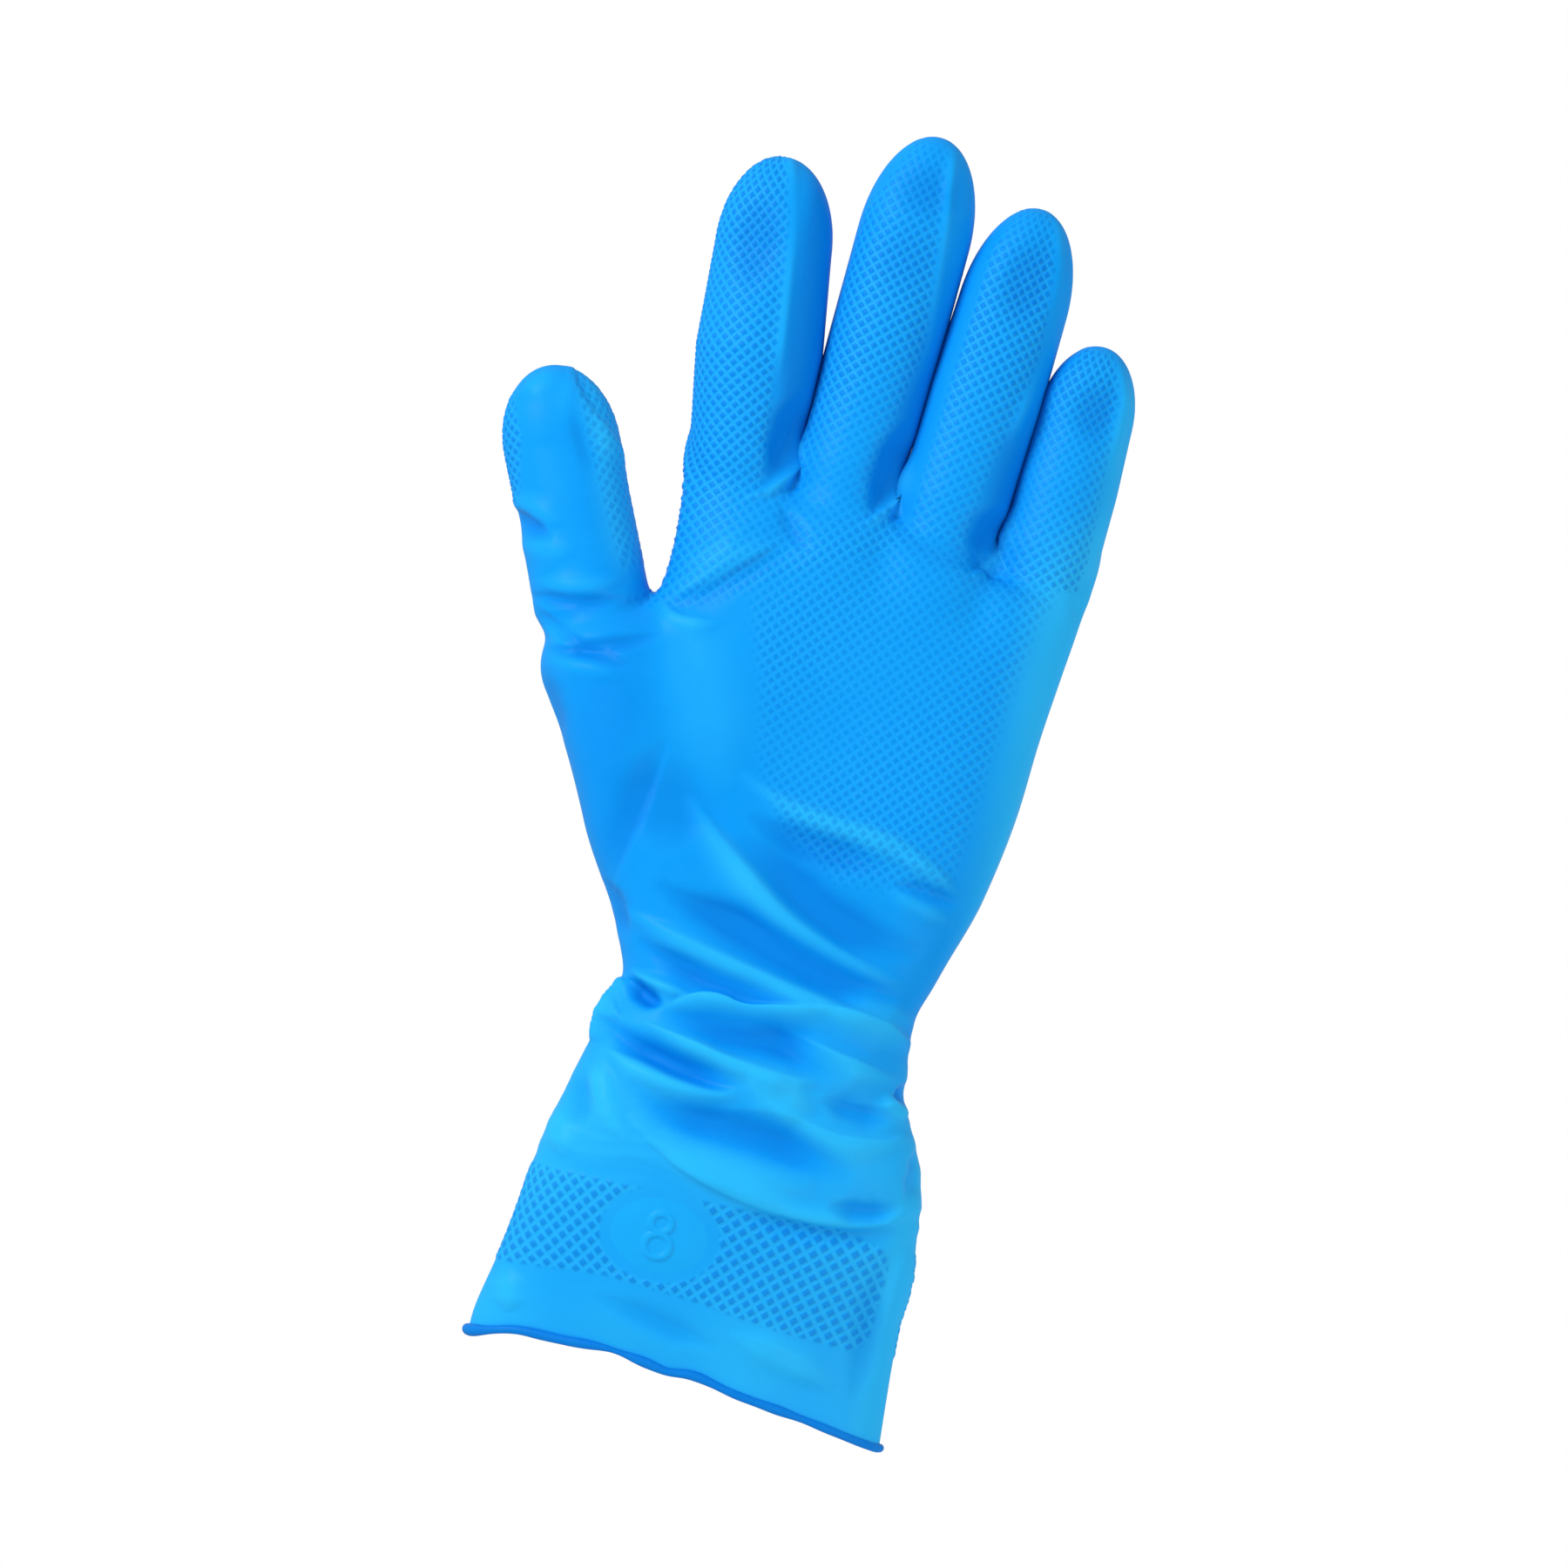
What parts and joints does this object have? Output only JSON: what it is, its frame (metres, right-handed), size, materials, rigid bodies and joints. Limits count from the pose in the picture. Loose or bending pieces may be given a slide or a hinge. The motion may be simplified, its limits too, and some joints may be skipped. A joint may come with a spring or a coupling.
{
  "type": "rubber glove",
  "caption": "Left-hand dipped rubber household glove with grip-textured palm and fingers, a gathered wrist and a cuff with a rolled bead, laid palm up.",
  "frame": {"origin": "middle of the glove's footprint, on the surface that it lies on", "axes": "+Y towards the fingertips, +X towards the little finger, +Z out of the palm"},
  "size_m": [0.1341, 0.2835, 0.039],
  "materials": {
    "smooth_latex": "satin",
    "grip_latex": "satin",
    "bead_latex": "satin",
    "badge_latex": "satin"
  },
  "bodies": {
    "hand": {"palm_skin": "grip_latex", "back_skin": "smooth_latex", "wrist_gather": "smooth_latex", "thumb_web": "smooth_latex", "knuckle_fold": "smooth_latex"},
    "knuckles": {"knuckle_band": "smooth_latex", "finger_webs": "smooth_latex", "index_base": "grip_latex", "index_mid_fold": "grip_latex", "middle_base": "grip_latex", "middle_mid_fold": "grip_latex", "ring_base": "grip_latex", "ring_mid_fold": "grip_latex", "little_base": "grip_latex", "little_mid_fold": "grip_latex"},
    "thumb": {"thumb_base": "smooth_latex", "thumb_tip_fold": "smooth_latex"},
    "thumb_tip": {"thumb_tip": "smooth_latex"},
    "cuff": {"cuff_sleeve": "smooth_latex", "cuff_grip_band": "grip_latex", "cuff_hem": "smooth_latex", "cuff_bead": "bead_latex", "size_badge": "badge_latex"},
    "index_mid": {"index_mid": "grip_latex", "index_tip_fold": "grip_latex"},
    "index_tip": {"index_tip": "grip_latex"},
    "middle_mid": {"middle_mid": "grip_latex", "middle_tip_fold": "grip_latex"},
    "middle_tip": {"middle_tip": "grip_latex"},
    "ring_mid": {"ring_mid": "grip_latex", "ring_tip_fold": "grip_latex"},
    "ring_tip": {"ring_tip": "grip_latex"},
    "little_mid": {"little_mid": "grip_latex", "little_tip_fold": "grip_latex"},
    "little_tip": {"little_tip": "grip_latex"}
  },
  "joints": [
    {"name": "knuckle_bend", "type": "hinge", "parent": "hand", "child": "knuckles", "pos_m": [0.0196, 0.042, 0.014], "axis": [1, 0, 0], "range_deg": [0, 50], "stiffness_Nm_per_rad": 0.12, "deforming": ["knuckle_fold"]},
    {"name": "wrist_bend", "type": "hinge", "parent": "hand", "child": "cuff", "pos_m": [0.0135, -0.057, 0.018], "axis": [-1, 0, 0], "range_deg": [0, 35], "stiffness_Nm_per_rad": 0.12, "deforming": ["wrist_gather"]},
    {"name": "index_mid_bend", "type": "hinge", "parent": "knuckles", "child": "index_mid", "pos_m": [-0.01635, 0.08441, 0.0115], "axis": [0.9966, 0.0819, 0], "range_deg": [0, 90], "stiffness_Nm_per_rad": 0.03, "deforming": ["index_mid_fold"]},
    {"name": "index_tip_bend", "type": "hinge", "parent": "index_mid", "child": "index_tip", "pos_m": [-0.01829, 0.10802, 0.0115], "axis": [0.9966, 0.0819, 0], "range_deg": [0, 60], "stiffness_Nm_per_rad": 0.02, "deforming": ["index_tip_fold"]},
    {"name": "middle_mid_bend", "type": "hinge", "parent": "knuckles", "child": "middle_mid", "pos_m": [0.01021, 0.0888, 0.0115], "axis": [0.9985, -0.0541, 0], "range_deg": [0, 90], "stiffness_Nm_per_rad": 0.03, "deforming": ["middle_mid_fold"]},
    {"name": "middle_tip_bend", "type": "hinge", "parent": "middle_mid", "child": "middle_tip", "pos_m": [0.0116, 0.11446, 0.0115], "axis": [0.9985, -0.0541, 0], "range_deg": [0, 60], "stiffness_Nm_per_rad": 0.02, "deforming": ["middle_tip_fold"]},
    {"name": "ring_mid_bend", "type": "hinge", "parent": "knuckles", "child": "ring_mid", "pos_m": [0.03397, 0.08363, 0.0115], "axis": [0.9966, -0.0819, 0], "range_deg": [0, 90], "stiffness_Nm_per_rad": 0.03, "deforming": ["ring_mid_fold"]},
    {"name": "ring_tip_bend", "type": "hinge", "parent": "ring_mid", "child": "ring_tip", "pos_m": [0.03593, 0.10742, 0.0115], "axis": [0.9966, -0.0819, 0], "range_deg": [0, 60], "stiffness_Nm_per_rad": 0.02, "deforming": ["ring_tip_fold"]},
    {"name": "little_mid_bend", "type": "hinge", "parent": "knuckles", "child": "little_mid", "pos_m": [0.05626, 0.06956, 0.0115], "axis": [0.9985, -0.0541, 0], "range_deg": [0, 90], "stiffness_Nm_per_rad": 0.03, "deforming": ["little_mid_fold"]},
    {"name": "little_tip_bend", "type": "hinge", "parent": "little_mid", "child": "little_tip", "pos_m": [0.05717, 0.08639, 0.0115], "axis": [0.9985, -0.0541, 0], "range_deg": [0, 60], "stiffness_Nm_per_rad": 0.02, "deforming": ["little_tip_fold"]},
    {"name": "thumb_bend", "type": "hinge", "parent": "hand", "child": "thumb", "pos_m": [-0.041, 0.027, 0.013], "axis": [0.9088, 0.3617, -0.2079], "range_deg": [0, 35], "stiffness_Nm_per_rad": 0.05, "deforming": ["thumb_web"]},
    {"name": "thumb_tip_bend", "type": "hinge", "parent": "thumb", "child": "thumb_tip", "pos_m": [-0.0496, 0.0469, 0.013], "axis": [0.9088, 0.3617, -0.2079], "range_deg": [0, 45], "stiffness_Nm_per_rad": 0.03, "deforming": ["thumb_tip_fold"]}
  ]
}
